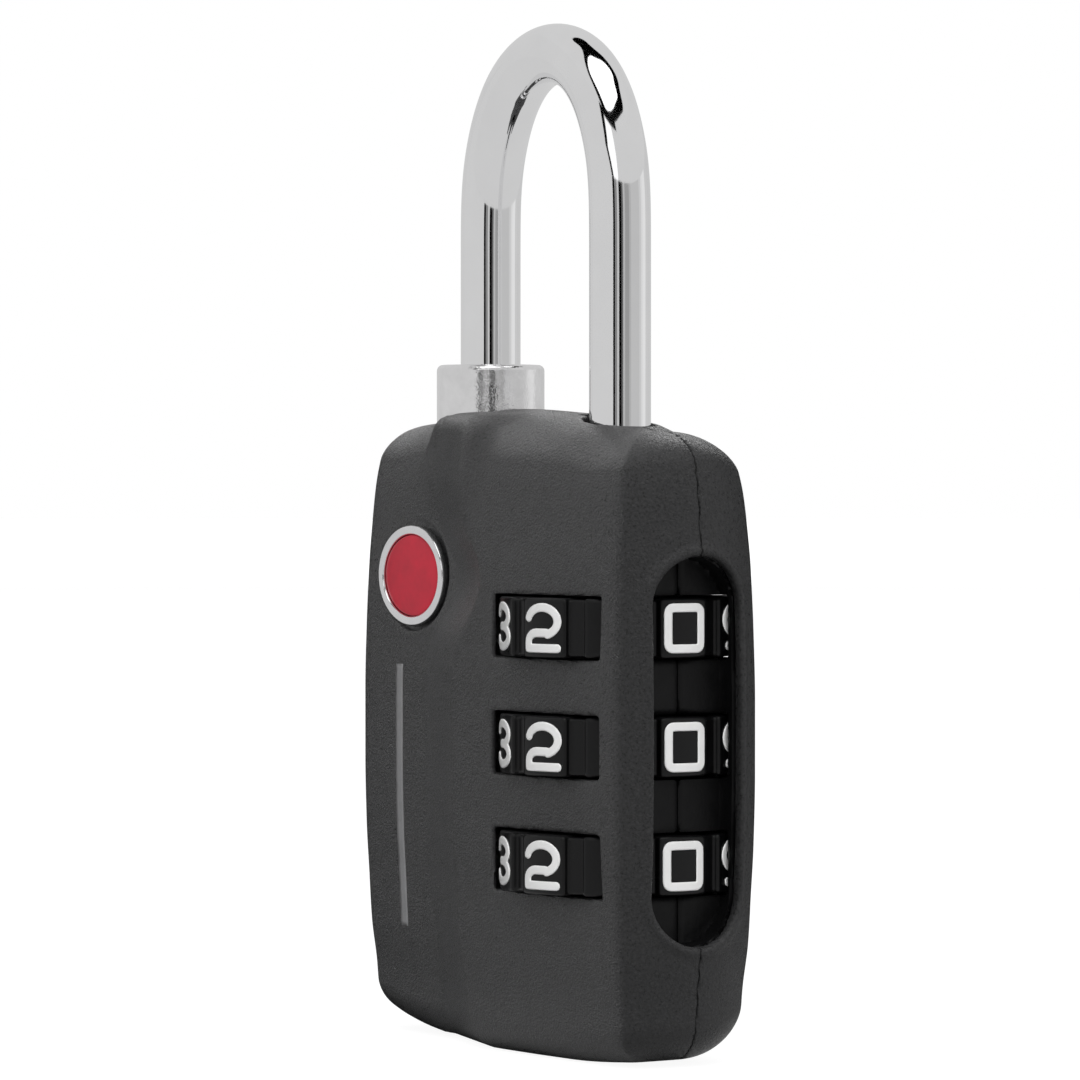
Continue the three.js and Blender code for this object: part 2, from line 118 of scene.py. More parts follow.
# --------------------------------------------------------------------------
# case outline seen from above
# --------------------------------------------------------------------------
def outline_half():
    pts = []
    cr, R, rc, pc = 0.8, 7.6, 1.6, 33.4 * RAD
    for i in range(60):
        a = pc * i / 59
        pts.append((cr + R * math.cos(a), R * math.sin(a)))
    n1, n0, v1x = 7.8 * RAD, -0.5 * RAD, -8.65
    cx, cy = cr + (R - rc) * math.cos(pc), (R - rc) * math.sin(pc)
    for i in range(1, 40):
        a = pc + (math.pi / 2 - n1 - pc) * i / 39
        pts.append((cx + rc * math.cos(a), cy + rc * math.sin(a)))
    x1, y1 = pts[-1]
    RF = (x1 - v1x) / (math.sin(n1) - math.sin(n0))
    for k in range(1, 121):
        n = n1 + (n0 - n1) * k / 120
        pts.append((x1 - RF * (math.sin(n1) - math.sin(n)), y1 + RF * (math.cos(n) - math.cos(n1))))
    v2x, v2y, xl, rl, yt = -13.72, 4.34, 22.97, 2.6, 4.06
    pts.append((v2x, v2y))
    for k in range(1, 20):
        t = k / 19
        pts.append((v2x + (-xl + rl - v2x) * t, v2y + (yt - v2y) * t * t))
    cx, cy = -xl + rl, yt - rl
    for i in range(30):
        a = (95 + 77 * i / 29) * RAD
        pts.append((cx + rl * math.cos(a), cy + rl * math.sin(a)))
    ex, ey = pts[-1]
    for k in range(1, 9):
        y = ey * (1 - k / 8)
        pts.append((ex - 0.07 * ey * (1 - (y / ey) ** 2), max(y, 0)))
    P = np.array(pts)
    # even spacing, then a light rounding of every corner
    h, sig = 0.06, 0.22
    d = np.r_[0, np.cumsum(np.hypot(*np.diff(P, axis=0).T))]
    s = np.linspace(0, d[-1], int(d[-1] / h))
    P = np.c_[np.interp(s, d, P[:, 0]), np.interp(s, d, P[:, 1])]
    k = int(4 * sig / h) + 1
    g = np.exp(-0.5 * (np.arange(-k, k + 1) * h / sig) ** 2)
    g /= g.sum()
    A = np.vstack([P[k:0:-1] * [1, -1], P, P[-2:-k - 2:-1] * [1, -1]])
    P = np.c_[np.convolve(A[:, 0], g, "valid"), np.convolve(A[:, 1], g, "valid")]
    return P[::2]


HALF = outline_half()
XMAX, XMIN = HALF[:, 0].max(), HALF[:, 0].min()


def signed_distance_grid():
    half = HALF
    loop = np.vstack([half, half[-2:0:-1] * [1, -1]])
    a, b = loop, np.roll(loop, -1, axis=0)
    h = 0.1
    gx = np.arange(-27.0, 10.4 + h / 2, h)
    gy = np.arange(-0.4, 8.0 + h / 2, h)
    P = np.stack(np.meshgrid(gx, gy, indexing="ij"), -1).reshape(-1, 2)
    best = np.full(len(P), 1e9)
    inside = np.zeros(len(P), bool)
    for i in range(len(a)):
        ab = b[i] - a[i]
        L = float(ab @ ab)
        if L < 1e-12:
            continue
        ap = P - a[i]
        t = np.clip((ap @ ab) / L, 0, 1)
        d = ap - t[:, None] * ab
        best = np.minimum(best, (d * d).sum(1))
        c1 = (a[i, 1] <= P[:, 1]) != (b[i, 1] <= P[:, 1])
        if c1.any() and ab[1] != 0:
            xi = a[i, 0] + (P[:, 1] - a[i, 1]) / ab[1] * ab[0]
            inside ^= c1 & (P[:, 0] < xi)
    s = np.sqrt(best)
    s[inside] *= -1
    return gx, gy, h, s.reshape(len(gx), len(gy))


GX, GY, GH, GS = signed_distance_grid()


def plan_distance(u, v):
    """Signed distance to the case outline, bicubic in the grid; the outline is the same front and rear."""
    v = np.abs(v)
    fx = np.clip((u - GX[0]) / GH, 1.001, len(GX) - 3.001)
    fy = np.clip((v - GY[0]) / GH, 1.001, len(GY) - 3.001)
    ix, iy = fx.astype(int), fy.astype(int)
    tx, ty = fx - ix, fy - iy

    def w(t):
        t2, t3 = t * t, t * t * t
        return (-0.5 * t + t2 - 0.5 * t3, 1 - 2.5 * t2 + 1.5 * t3, 0.5 * t + 2 * t2 - 1.5 * t3, -0.5 * t2 + 0.5 * t3)

    wx, wy = w(tx), w(ty)
    out = 0
    for i in range(4):
        col = 0
        for j in range(4):
            col = col + wy[j] * GS[ix + i - 1, iy + j - 1]
        out = out + wx[i] * col
    return out


# --------------------------------------------------------------------------
# distance-field helpers
# --------------------------------------------------------------------------
def smax(a, b, k):
    h = np.clip(0.5 + 0.5 * (a - b) / k, 0, 1)
    return a * h + b * (1 - h) + k * h * (1 - h)


def smin(a, b, k):
    return -smax(-a, -b, k)


def box3(x, y, z, c, b, r=0.0):
    qx, qy, qz = np.abs(x - c[0]) - (b[0] - r), np.abs(y - c[1]) - (b[1] - r), np.abs(z - c[2]) - (b[2] - r)
    out = np.sqrt(np.maximum(qx, 0) ** 2 + np.maximum(qy, 0) ** 2 + np.maximum(qz, 0) ** 2)
    return out + np.minimum(np.maximum(qx, np.maximum(qy, qz)), 0) - r


def box2(x, y, cx, cy, bx, by, r=0.0):
    qx, qy = np.abs(x - cx) - (bx - r), np.abs(y - cy) - (by - r)
    return np.sqrt(np.maximum(qx, 0) ** 2 + np.maximum(qy, 0) ** 2) + np.minimum(np.maximum(qx, qy), 0) - r


def slab(z, z0, z1):
    return np.abs(z - (z0 + z1) / 2) - (z1 - z0) / 2


def rod(x, y, z, cx, cy, r, z0, z1, e=0.0):
    """upright cylinder with edges rounded by e"""
    q = np.hypot(x - cx, y - cy) - (r - e)
    w = slab(z, z0, z1) + e
    return np.minimum(np.maximum(q, w), 0) + np.sqrt(np.maximum(q, 0) ** 2 + np.maximum(w, 0) ** 2) - e


BADGE = (-15.5, 26.8, 3.55, 2.92)


def edge_round(p, q, A, B):
    """distance to a corner rounded by a quarter ellipse; p is measured across the wall, q along the height"""
    a, b = np.maximum(p + A, 0) / A, np.maximum(q + B, 0) / B
    n = np.sqrt(a * a + b * b)
    g = np.sqrt((a / A) ** 2 + (b / B) ** 2) / np.maximum(n, 1e-6)
    e = (n - 1) / np.maximum(g, 1 / np.maximum(A, B))
    return np.where((a > 0) & (b > 0), e, np.maximum(p, q))


def soft_step(t):
    t = np.clip(t, 0, 1)
    return t * t * (3 - 2 * t)


def f_outer(x, y, z):
    yr = np.maximum(y, 0) ** 2
    k = np.clip(x / 4.0, 0, 1)
    yr = yr * k * k * (3 - 2 * k)
    # the shoulders in front of and behind the collar stay full up to the top
    h = soft_step((x - KEY_X + 2.1) / 2.2) * soft_step((KEY_X + 7.6 - x) / 3.2) * soft_step((np.abs(y) - 1.6) / 1.4)
    T = TOP(x) - 0.039 * y * y * (1 - 0.45 * h) - 0.013 * yr
    Bt = BOT(x) + 0.072 * yr
    w = np.where(z > 28, 28 + (z - 28) * (CASE_H - 28) / (T - 28), np.where(z < 8, 8 - (8 - z) * 8 / (8 - Bt), z))
    # the ramp swings to the right round the badge, and a little near top and bottom
    s = 3.0 * np.exp(-((w - 26.6) / 2.6) ** 2) + 0.3 * np.minimum(np.abs((w - 18) / 13) ** 3, 3)
    win = np.clip((x + 19.5) / 5.0, 0, 1) * np.clip((-0.6 - x) / 7.0, 0, 1)
    win = win * win * (3 - 2 * win)
    d2 = plan_distance(x - s * win, y) + BAR(w) * (1 - 0.62 * h * soft_step((w - 29) / 4))
    up = edge_round(d2, w - CASE_H, TOP_A - (TOP_A - 1.0) * h, TOP_B - (TOP_B - 0.9) * h)
    dn = edge_round(d2, -w, BOT_A, BOT_B)
    return np.where(w > 18, up, dn)


def f_core_plan(x, y, z, g):
    """space for the inner frame: the round part with its bevelled top, the block of the key side and the pad behind the finger slot"""
    rnd = np.maximum(np.hypot(x, y) - (5.6 + g), np.abs(y) - (4.4 + g))
    rnd = np.maximum(rnd, slab(z, 2.0 - g, 33.9 + g))
    rnd = np.maximum(rnd, (np.hypot(x, y) - (5.6 + g) + (z - 32.2) * 0.5) * 0.9)
    blk = np.maximum(box2(x, y, -11.7, 0, 8.7 + g, 3.35 + g, 0.9), slab(z, 2.0 - g, 33.9 + g))
    pad = np.maximum(box2(x, y, 3.9, 0, 1.95 + g, 3.1 + g), slab(z, 6.4 - g, 29.1 + g))
    return np.minimum(np.minimum(rnd, blk), pad)


def slot_distance(y, z):
    zc = np.clip(z, SLOT_Z[0] + SLOT_HALF, SLOT_Z[1] - SLOT_HALF)
    return np.hypot(y, z - zc) - SLOT_HALF


def f_shell_whole(x, y, z):
    base = f_outer(x, y, z)
    d = base
    ds = slot_distance(y, z)
    # raised bead round the finger slot
    side = np.clip((x - 4.0) / 2.0, 0, 1)
    d = d - 0.12 * np.exp(-((ds - 0.32) / 0.26) ** 2) * side
    d = smax(d, -np.maximum(ds, 4.6 - x), 0.24)
    # relief behind the lip for the black wall of the slot, whose black partly paints in the shade on the slot's inner
    # wall
    d = np.maximum(d, -np.maximum(np.maximum(ds - 0.52, 4.6 - x), np.maximum(x - 7.42, base + 0.55)))
    for c in DIAL_Z:
        wbox = np.maximum(box2(x, z, 0.43, c, 4.83, 1.76, 0.22), 2.5 - np.abs(y))
        d = smax(d, -wbox, 0.2)
        d = np.maximum(d, -rod(x, y, z, 0, 0, 7.06, c - 1.78, c + 1.78))
    d = np.maximum(d, -np.maximum(f_core_plan(x, y, z, 0.25), base + 0.62))
    # holes in the top for the long leg with its lug notch, and for the collar
    leg = np.maximum(smin(np.hypot(x, y) - 2.08, box2(x, y, -1.5, 0, 1.6, 0.8, 0.35), 0.2), 33.0 - z)
    d = smax(d, -leg, 0.22)
    d = smax(d, -np.maximum(np.hypot(x - KEY_X, y) - 3.13, 33.6 - z), 0.06)
    # key hole below with a chamfer
    kh = np.hypot(x - KEY_X, y)
    d = smax(d, -np.maximum(np.minimum(kh - 2.4, kh - 2.75 + (z + 0.2) * 0.9), z - 3.0), 0.15)
    # oval recess for the badge
    bx, bz, ba, bb = BADGE
    e = np.sqrt(((x - bx) / (ba + 0.28)) ** 2 + ((z - bz) / (bb + 0.28)) ** 2)
    eo = (e - 1) * (bb + 0.28) / np.maximum(np.sqrt(((x - bx) / (ba + .28)) ** 2 * ((bb + .28) / (ba + .28)) ** 2 + ((z - bz) / (bb + .28)) ** 2) / np.maximum(e, 1e-6), 0.2)
    d = smax(d, -np.maximum(eo, y + 3.87), 0.14)
    return d


SEAM = 0.008


def f_front_shell(x, y, z):
    return smax(f_shell_whole(x, y, z), y + SEAM, 0.035)


def f_rear_shell(x, y, z):
    return smax(f_shell_whole(x, y, z), SEAM - y, 0.035)


def f_core_whole(x, y, z):
    d = f_core_plan(x, y, z, 0.0)
    base = f_outer(x, y, z)
    ds = slot_distance(y, z)
    # black wall of the finger slot, under the lip: a black lining of the core that also paints in the shade on the
    # slot's inner wall
    wall = np.maximum(np.maximum(ds - 0.36, -ds - 0.02), np.maximum(np.maximum(5.2 - x, x - 7.3), base + 0.66))
    d = smin(d, wall, 0.08)
    d = np.maximum(d, np.where(wall < 0.05, base + 0.66, base + 0.86))
    for c in DIAL_Z:
        d = smax(d, -rod(x, y, z, 0, 0, 7.06, c - 1.8, c + 1.8), 0.12)
    d = np.maximum(d, -rod(x, y, z, 0, 0, 3.9, 0.0, 33.3))
    leg = np.maximum(np.minimum(np.hypot(x, y) - 2.05, box2(x, y, -1.5, 0, 1.55, 0.85, 0.1)), 33.0 - z)
    d = smax(d, -leg, 0.1)
    d = np.maximum(d, -(np.hypot(x - KEY_X, y) - 3.0))
    d = np.maximum(d, -box3(x, y, z, (-9.7, 0, 27.95), (8.2, 1.75, 0.8)))
    d = np.maximum(d, -box3(x, y, z, (-7.15, 2.1, 17.65), (0.95, 1.0, 10.25)))
    for rx, rz in ((-8.95, 31.3), (-8.95, 5.0), (-17.9, 31.0), (-17.9, 5.0)):
        rr = np.hypot(x - rx, z - rz)
        d = np.maximum(d, -(rr - 1.1))
        d = np.maximum(d, -np.maximum(rr - 1.5, 2.55 - np.abs(y)))
    return d


def f_front_core(x, y, z):
    return smax(f_core_whole(x, y, z), y + 0.05, 0.14)


def f_rear_core(x, y, z):
    return smax(f_core_whole(x, y, z), 0.05 - y, 0.14)


# --------------------------------------------------------------------------
# surface extraction: dual contouring on a sparse grid, then every vertex is
# drawn onto the true surface
# --------------------------------------------------------------------------
def surface(f, lo, hi, h):
    lo, hi = np.array(lo, float), np.array(hi, float)
    B = 4
    nb = np.maximum(1, np.ceil((hi - lo) / (h * B)).astype(int))
    n = nb * B + 1
    ib = np.stack(np.meshgrid(*[np.arange(k) for k in nb], indexing="ij"), -1).reshape(-1, 3)
    cc = lo + (ib + 0.5) * B * h
    fc = f(cc[:, 0], cc[:, 1], cc[:, 2]).reshape(nb)
    keep = np.abs(fc) < B * h * 0.87 * 1.45 + 0.12
    up = keep.repeat(B, 0).repeat(B, 1).repeat(B, 2)
    mask = np.zeros(n, bool)
    for a in (0, 1):
        for b in (0, 1):
            for c in (0, 1):
                mask[a:a + up.shape[0], b:b + up.shape[1], c:c + up.shape[2]] |= up
    F = np.ones(n, np.float32)
    neg = (fc < 0).repeat(B, 0).repeat(B, 1).repeat(B, 2)
    F[:-1, :-1, :-1][neg] = -1
    ii = np.argwhere(mask)
    P = lo + ii * h
    vals = np.empty(len(P), np.float32)
    for s in range(0, len(P), 400000):
        q = P[s:s + 400000]
        vals[s:s + 400000] = f(q[:, 0], q[:, 1], q[:, 2])
    F[ii[:, 0], ii[:, 1], ii[:, 2]] = vals
    F[0, :, :] = F[-1, :, :] = F[:, 0, :] = F[:, -1, :] = F[:, :, 0] = F[:, :, -1] = 1
    F[F == 0] = 1e-6
    S = F < 0
    cnt = np.zeros(n - 1, np.int8)
    corners = [(a, b, c) for a in (0, 1) for b in (0, 1) for c in (0, 1)]
    for a, b, c in corners:
        cnt += S[a:a + n[0] - 1, b:b + n[1] - 1, c:c + n[2] - 1]
    act = (cnt > 0) & (cnt < 8)
    cells = np.argwhere(act)
    idx = np.full(n - 1, -1, np.int64)
    idx[act] = np.arange(len(cells))
    fcor = np.stack([F[cells[:, 0] + a, cells[:, 1] + b, cells[:, 2] + c] for a, b, c in corners], 1)
    pos = np.zeros((len(cells), 3))
    num = np.zeros(len(cells))
    for i, ca in enumerate(corners):
        for j, cb in enumerate(corners):
            if j > i and sum(abs(p - q) for p, q in zip(ca, cb)) == 1:
                cr = (fcor[:, i] < 0) != (fcor[:, j] < 0)
                t = fcor[cr, i] / (fcor[cr, i] - fcor[cr, j])
                pos[cr] += np.array(ca) + t[:, None] * (np.array(cb) - np.array(ca))
                num[cr] += 1
    v = lo + (cells + pos / num[:, None]) * h
    quads = []
    for ax in range(3):
        o1, o2 = [(1, 2), (2, 0), (0, 1)][ax]
        sl0 = [slice(None)] * 3
        sl1 = [slice(None)] * 3
        sl0[ax], sl1[ax] = slice(0, n[ax] - 1), slice(1, n[ax])
        s0, s1 = S[tuple(sl0)], S[tuple(sl1)]
        ed = np.argwhere(s0 != s1)
        ed = ed[(ed[:, o1] > 0) & (ed[:, o2] > 0) & (ed[:, o1] < n[o1] - 1) & (ed[:, o2] < n[o2] - 1)]
        flip = s0[ed[:, 0], ed[:, 1], ed[:, 2]]
        d1, d2 = np.zeros(3, int), np.zeros(3, int)
        d1[o1], d2[o2] = 1, 1
        q = np.stack([idx[tuple((ed - d1 - d2).T)], idx[tuple((ed - d2).T)], idx[tuple(ed.T)], idx[tuple((ed - d1).T)]], 1)
        q[~flip] = q[~flip][:, ::-1]
        quads.append(q)
    quads = np.vstack(quads)

    def pull(v, steps):
        e = 1e-3
        for _ in range(steps):
            x, y, z = v[:, 0], v[:, 1], v[:, 2]
            f0 = f(x, y, z)
            g = np.stack([f(x + e, y, z) - f(x - e, y, z), f(x, y + e, z) - f(x, y - e, z), f(x, y, z + e) - f(x, y, z - e)], 1) / (2 * e)
            step = (f0 / np.maximum((g * g).sum(1), 0.2))[:, None] * g
            L = np.linalg.norm(step, axis=1, keepdims=True)
            v = v - step * np.minimum(1, 0.5 * h / np.maximum(L, 1e-9))
        return v

    v = pull(v, 2)
    # even the spacing out along the surface, then draw onto it again
    for _ in range(2):
        acc = np.zeros_like(v)
        deg = np.zeros(len(v))
        for k in range(4):
            a, b = quads[:, k], quads[:, (k + 1) % 4]
            for c in range(3):
                acc[:, c] += np.bincount(a, v[b, c], len(v)) + np.bincount(b, v[a, c], len(v))
            deg += np.bincount(a, minlength=len(v)) + np.bincount(b, minlength=len(v))
        v = v + 0.45 * (acc / deg[:, None] - v)
        v = pull(v, 1)
    v = pull(v, 1)
    return v, quads


def mesh_object(name, verts_row, faces, material=None, smooth=True):
    me = bpy.data.meshes.new(name)
    if isinstance(faces, np.ndarray):
        me.vertices.add(len(verts_row))
        me.vertices.foreach_set("co", np.ascontiguousarray(verts_row, dtype=np.float32).ravel())
        k = faces.shape[1]
        me.loops.add(faces.size)
        me.loops.foreach_set("vertex_index", np.ascontiguousarray(faces, dtype=np.int32).ravel())
        me.polygons.add(len(faces))
        me.polygons.foreach_set("loop_start", np.arange(0, faces.size, k, dtype=np.int32))
        me.update(calc_edges=True)
        me.validate()
    else:
        me.from_pydata([tuple(p) for p in verts_row], [], faces)
        me.update()
    if smooth:
        me.polygons.foreach_set("use_smooth", np.ones(len(me.polygons), bool))
    ob = bpy.data.objects.new(name, me)
    bpy.context.scene.collection.objects.link(ob)
    if material:
        me.materials.append(material)
    return ob


def field_object(name, f, lo, hi, h, material):
    v, q = surface(f, lo, hi, h)
    ob = mesh_object(name, to_row(v), q, material)
    ob.data.set_sharp_from_angle(angle=48 * RAD)
    return ob


# --------------------------------------------------------------------------
# materials
# --------------------------------------------------------------------------
def material(name, color, rough, metal=0.0, spec=0.5, coat=0.0, coat_rough=0.1, grain=None, rough_var=0.0, color_var=0.0, var_scale=900.0, ior=1.5):
    """Procedural surface: colour and roughness vary with two scales of noise, and grain gives a fine bump."""
    m = bpy.data.materials.new(name)
    m.use_nodes = True
    nt = m.node_tree
    n, L = nt.nodes, nt.links
    b = n["Principled BSDF"]
    b.inputs["Base Color"].default_value = (*color, 1)
    b.inputs["Roughness"].default_value = rough
    b.inputs["Metallic"].default_value = metal
    b.inputs["Specular IOR Level"].default_value = spec
    b.inputs["IOR"].default_value = ior
    b.inputs["Coat Weight"].default_value = coat
    b.inputs["Coat Roughness"].default_value = coat_rough
    tc = n.new("ShaderNodeTexCoord")
    if color_var or rough_var:
        ns = n.new("ShaderNodeTexNoise")
        ns.inputs["Scale"].default_value = var_scale
        ns.inputs["Detail"].default_value = 5
        ns.inputs["Roughness"].default_value = 0.6
        L.new(tc.outputs["Object"], ns.inputs["Vector"])
        if color_var:
            ramp = n.new("ShaderNodeValToRGB")
            ramp.color_ramp.elements[0].position = 0.3
            ramp.color_ramp.elements[1].position = 0.7
            ramp.color_ramp.elements[0].color = (*[c * (1 - color_var) for c in color], 1)
            ramp.color_ramp.elements[1].color = (*[min(1, c * (1 + color_var)) for c in color], 1)
            L.new(ns.outputs["Fac"], ramp.inputs["Fac"])
            L.new(ramp.outputs["Color"], b.inputs["Base Color"])
        if rough_var:
            mr = n.new("ShaderNodeMapRange")
            mr.inputs["From Min"].default_value = 0.3
            mr.inputs["From Max"].default_value = 0.7
            mr.inputs["To Min"].default_value = max(0.01, rough - rough_var)
            mr.inputs["To Max"].default_value = min(1, rough + rough_var)
            L.new(ns.outputs["Fac"], mr.inputs["Value"])
            L.new(mr.outputs["Result"], b.inputs["Roughness"])
    if grain:
        scale, height, detail = grain
        ng = n.new("ShaderNodeTexNoise")
        ng.inputs["Scale"].default_value = scale
        ng.inputs["Detail"].default_value = detail
        ng.inputs["Roughness"].default_value = 0.65
        L.new(tc.outputs["Object"], ng.inputs["Vector"])
        bp = n.new("ShaderNodeBump")
        bp.inputs["Strength"].default_value = 1.0
        bp.inputs["Distance"].default_value = height
        L.new(ng.outputs["Fac"], bp.inputs["Height"])
        L.new(bp.outputs["Normal"], b.inputs["Normal"])
    return m


M_SHELL = material("shell_grain", (0.042, 0.042, 0.043), 0.38, spec=0.32, grain=(6600, 0.00009, 4.0), rough_var=0.18, color_var=0.50, var_scale=5600)
M_CORE = material("core_black", (0.006, 0.006, 0.0065), 0.45, spec=0.22, grain=(3000, 0.00002, 2.0), rough_var=0.08, color_var=0.2)
M_DIAL = material("dial_black", (0.005, 0.005, 0.0055), 0.34, spec=0.28, grain=(2600, 0.00001, 2.0), rough_var=0.07, color_var=0.2)
M_NUM = material("numeral_white", (0.84, 0.84, 0.835), 0.45, spec=0.4, grain=(3500, 0.00001, 2.0), rough_var=0.06, color_var=0.03)
M_CHROME = material("chrome_shackle", (0.90, 0.90, 0.905), 0.055, metal=1.0, rough_var=0.02, var_scale=420, color_var=0.015)
M_COLLAR = material("chrome_collar", (0.86, 0.855, 0.86), 0.13, metal=1.0, grain=(1500, 0.00004, 4.0), rough_var=0.06, var_scale=900, color_var=0.05)
M_BEZEL = material("badge_bright", (0.80, 0.80, 0.81), 0.18, metal=1.0, rough_var=0.04, var_scale=900, color_var=0.03)
M_ENAMEL = material("badge_enamel", (0.66, 0.016, 0.045), 0.34, spec=0.30, coat=0.15, coat_rough=0.12, rough_var=0.05, color_var=0.18, var_scale=350)
M_PRINT = material("silver_print", (0.42, 0.42, 0.43), 0.42, metal=0.35, grain=(6000, 0.00002, 2.0), rough_var=0.08, color_var=0.1)
M_PLUG = material("plug_nickel", (0.62, 0.60, 0.54), 0.30, metal=1.0, grain=(2400, 0.00001, 2.0), rough_var=0.08, color_var=0.08)
M_SLEEVE = material("sleeve_black", (0.012, 0.012, 0.012), 0.5, spec=0.25, grain=(2400, 0.00001, 2.0), rough_var=0.08, color_var=0.2)
M_BRASS = material("brass_turned", (0.66, 0.46, 0.19), 0.33, metal=1.0, grain=(2200, 0.00001, 2.0), rough_var=0.08, color_var=0.1)
M_STEEL = material("steel_zinc", (0.52, 0.53, 0.54), 0.38, metal=1.0, grain=(2400, 0.00001, 2.0), rough_var=0.1, color_var=0.08)
M_SPRING = material("spring_bright", (0.60, 0.61, 0.62), 0.26, metal=1.0, rough_var=0.06, color_var=0.06)


# --------------------------------------------------------------------------
# shells and core halves
# --------------------------------------------------------------------------
H_SHELL = 0.17
H_CORE = 0.24
front = field_object("front_cover", f_front_shell, (-23.8, -6.7, -0.8), (9.2, 0.4, 37.2), H_SHELL, M_SHELL)
rear = field_object("rear_cover", f_rear_shell, (-23.8, -0.4, -0.8), (9.2, 6.7, 37.2), H_SHELL, M_SHELL)
corf = field_object("inner_frame_front", f_front_core, (-21.2, -5.2, 1.2), (8.0, 0.4, 34.8), H_CORE, M_CORE)
corr = field_object("inner_frame_rear", f_rear_core, (-21.2, -0.4, 1.2), (8.0, 5.2, 34.8), H_CORE, M_CORE)
for ob, node, sl in ((front, "front_shell", "shell"), (rear, "rear_shell", "shell"), (corf, "core_front", "core"), (corr, "core_rear", "core")):
    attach(ob, "case")
    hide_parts(node)

# --------------------------------------------------------------------------
# dials with raised white numbers
# --------------------------------------------------------------------------
DIAL_R = 6.78


def f_dial(x, y, z):
    r = np.hypot(x, y)
    a = np.arctan2(-y, x)
    step = 36 * RAD
    rel = (a / step - np.round(a / step)) * step      # 0 in the middle of a pad
    s = np.abs(rel) * DIAL_R
    half = 13.5 * RAD * DIAL_R
    pad = box2(s, z, 0, 0, half, 1.65, 0.16)
    rim = smax(r - DIAL_R, pad, 0.16)
    drum = smax(r - (DIAL_R - 0.34), np.abs(z) - 1.58, 0.15)
    d = smin(rim, drum, 0.10)
    bore_r = 3.55 + 0.25 * np.tanh(6 * np.cos(10 * a))
    return smax(d, bore_r - r, 0.08)


vd, qd = surface(f_dial, (-7.1, -7.1, -1.95), (7.1, 7.1, 1.95), 0.15)


def arc_pts(cx, cy, rx, ry, a0, a1, n=16):
    return [(cx + rx * math.cos((a0 + (a1 - a0) * i / n) * RAD), cy + ry * math.sin((a0 + (a1 - a0) * i / n) * RAD)) for i in range(n + 1)]


def rounded(pts, r):
    """polyline with its inner corners rounded"""
    out = [pts[0]]
    for i in range(1, len(pts) - 1):
        p0, p1, p2 = (np.array(q, float) for q in (pts[i - 1], pts[i], pts[i + 1]))
        u, v = p0 - p1, p2 - p1
        lu, lv = np.linalg.norm(u), np.linalg.norm(v)
        t = min(r, lu * 0.45, lv * 0.45)
        a, b = p1 + u / lu * t, p1 + v / lv * t
        for k in range(7):
            w = k / 6
            out.append(tuple((1 - w) ** 2 * a + 2 * w * (1 - w) * p1 + w * w * b))
    out.append(pts[-1])
    return out


GW, GH2 = 1.08, 1.14     # half width and half height of the stroke's centre line
GLYPHS = {
    0: [rounded([(0, GH2), (GW, GH2), (GW, -GH2), (-GW, -GH2), (-GW, GH2), (0, GH2)], 0.34)],
    1: [rounded([(-0.32, 0.78), (0.12, GH2), (0.12, -GH2)], 0.12)],
    2: [arc_pts(0.0, 0.38, 1.04, 0.76, 168, -55, 22) + arc_pts(-0.42, -0.62, 0.62, 0.42, 90, 180, 8) + [(-1.04, -0.62), (-1.04, -GH2), (1.02, -GH2)]],
    3: [arc_pts(0.0, 0.56, 1.0, 0.58, 165, -80, 20) + [(-0.2, 0.0)], [(-0.2, 0.0)] + arc_pts(0.0, -0.57, 1.06, 0.57, 80, -165, 20)],
    4: [rounded([(0.45, -GH2), (0.45, GH2), (-1.06, -0.45), (1.08, -0.45)], 0.12)],
    5: [rounded([(0.95, GH2), (-0.85, GH2), (-0.92, 0.16)], 0.12) + arc_pts(0.0, -0.42, 1.05, 0.72, 140, -150, 20)],
    6: [arc_pts(0.15, 0.3, 1.15, 0.84, 62, 180, 12) + [(-1.0, -0.42)], arc_pts(0.0, -0.42, 1.02, 0.72, 0, 360, 28)],
    7: [rounded([(-1.04, GH2), (1.04, GH2), (-0.25, -GH2)], 0.12)],
    8: [arc_pts(0.0, 0.57, 0.92, 0.57, 0, 360, 26), arc_pts(0.0, -0.54, 1.05, 0.60, 0, 360, 26)],
    9: [arc_pts(-0.15, -0.3, 1.15, 0.84, 242, 360, 12) + [(1.0, 0.42)], arc_pts(0.0, 0.42, 1.02, 0.72, 0, 360, 28)],
}
# the open 2 needs its middle bar drawn as one line
GLYPHS[2] = [arc_pts(0.0, 0.36, 1.06, 0.78, 165, -68, 24) + [(0.3, -0.28), (-0.3, -0.28)] + arc_pts(-0.42, -0.82, 0.62, 0.54, 90, 180, 8) + [(-1.04, -GH2), (1.04, -GH2)]]


def f_glyph(strokes):
    segs = [(np.array(a), np.array(b)) for st in strokes for a, b in zip(st[:-1], st[1:]) if abs(a[0] - b[0]) + abs(a[1] - b[1]) > 1e-9]

    def f(s, t, r):
        best = np.full(s.shape, 1e9)
        for a, b in segs:
            ab = b - a
            k = np.clip(((s - a[0]) * ab[0] + (t - a[1]) * ab[1]) / (ab @ ab), 0, 1)
            best = np.minimum(best, (s - a[0] - k * ab[0]) ** 2 + (t - a[1] - k * ab[1]) ** 2)
        d = np.sqrt(best) - 0.25
        return smax(d, np.abs(r) - 0.10, 0.06)
    return f


glyph_mesh = {}
for dg, st in GLYPHS.items():
    glyph_mesh[dg] = surface(f_glyph(st), (-1.55, -1.6, -0.2), (1.55, 1.6, 0.2), 0.075)

